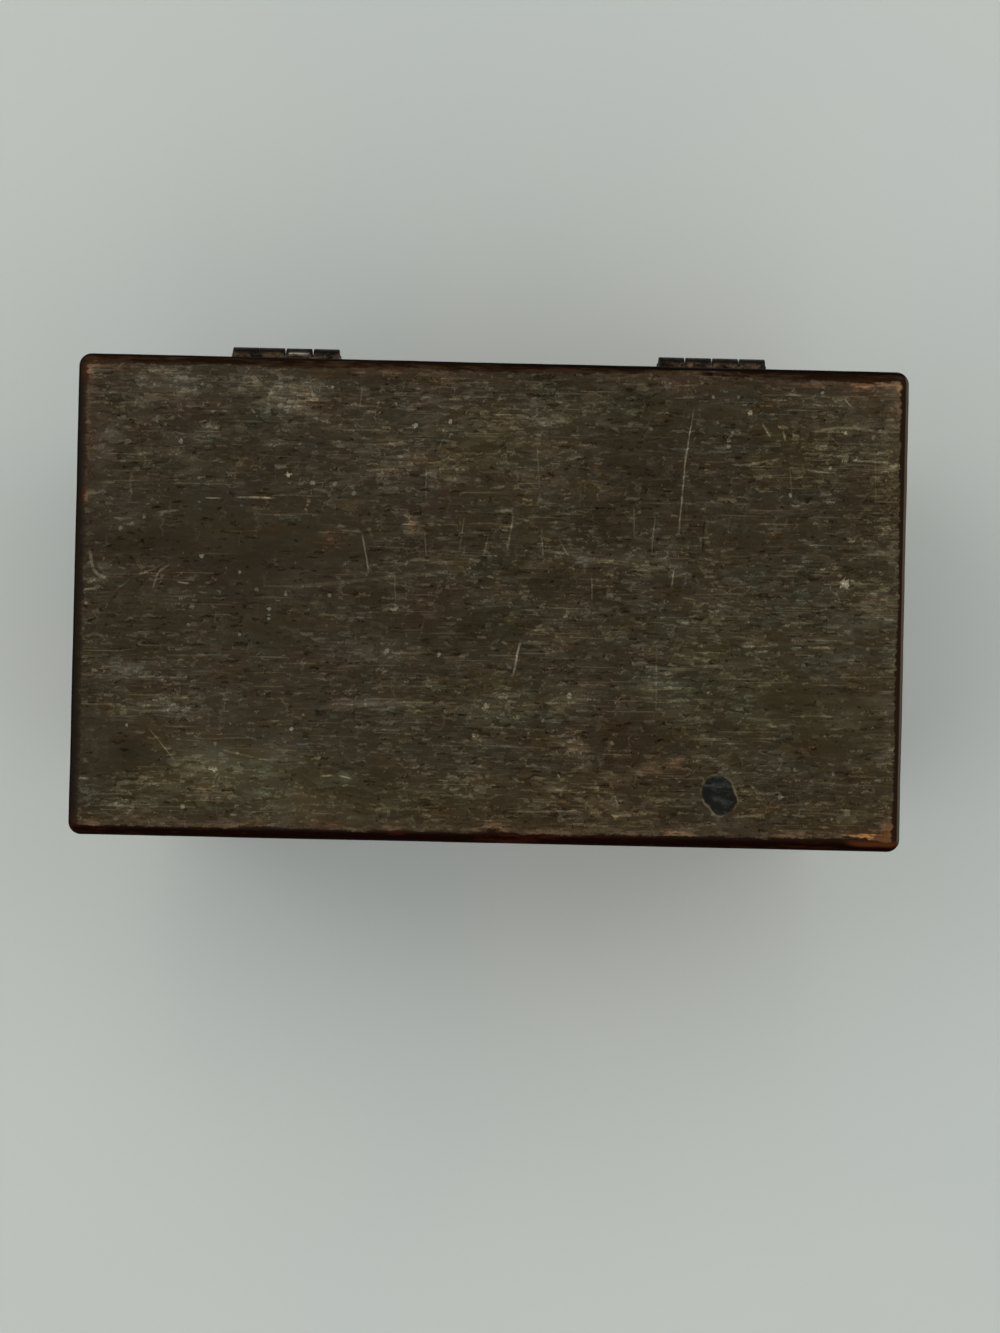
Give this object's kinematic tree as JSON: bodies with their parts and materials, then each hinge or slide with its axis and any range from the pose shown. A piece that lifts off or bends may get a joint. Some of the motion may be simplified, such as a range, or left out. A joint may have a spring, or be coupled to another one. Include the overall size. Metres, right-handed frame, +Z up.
{
  "type": "recipe box",
  "caption": "Wooden recipe box for index cards, finger-jointed, with a shallow lid that swings back on two small butt hinges.",
  "frame": {"origin": "centre of the underside", "axes": "+X along the width to the right, +Y towards the hinges at the back, +Z up through the lid"},
  "size_m": [0.143, 0.0869, 0.0931],
  "materials": {
    "worn_wood": "bare, weathered grey-brown face, matt, with fine pale grain streaks, dents and stains",
    "varnished_wood": "dark red-brown varnish, half gloss, worn to orange-brown along the edges",
    "tarnished_brass": "plated hinge metal tarnished to dark brown, dull, brighter on the knuckles",
    "dull_steel": "dull grey hinge pin"
  },
  "bodies": {
    "box": {"bottom_panel": "varnished_wood", "front_wall": "varnished_wood", "right_wall": "varnished_wood", "back_wall": "varnished_wood", "left_wall": "varnished_wood", "left_lower_leaf": "tarnished_brass", "left_hinge_pin": "dull_steel", "left_lower_screw_1": "tarnished_brass", "left_lower_screw_2": "tarnished_brass", "right_lower_leaf": "tarnished_brass", "right_hinge_pin": "dull_steel", "right_lower_screw_1": "tarnished_brass", "right_lower_screw_2": "tarnished_brass"},
    "lid": {"top_panel": "worn_wood", "lid_front_rail": "varnished_wood", "lid_right_rail": "varnished_wood", "lid_back_rail": "varnished_wood", "lid_left_rail": "varnished_wood", "left_upper_leaf": "tarnished_brass", "left_upper_screw_1": "tarnished_brass", "left_upper_screw_2": "tarnished_brass", "right_upper_leaf": "tarnished_brass", "right_upper_screw_1": "tarnished_brass", "right_upper_screw_2": "tarnished_brass"}
  },
  "joints": [
    {"name": "lid_swing", "type": "hinge", "parent": "box", "child": "lid", "pos_m": [0, 0.04365, 0.0751], "axis": [-1, 0, 0], "range_deg": [0, 190]}
  ]
}
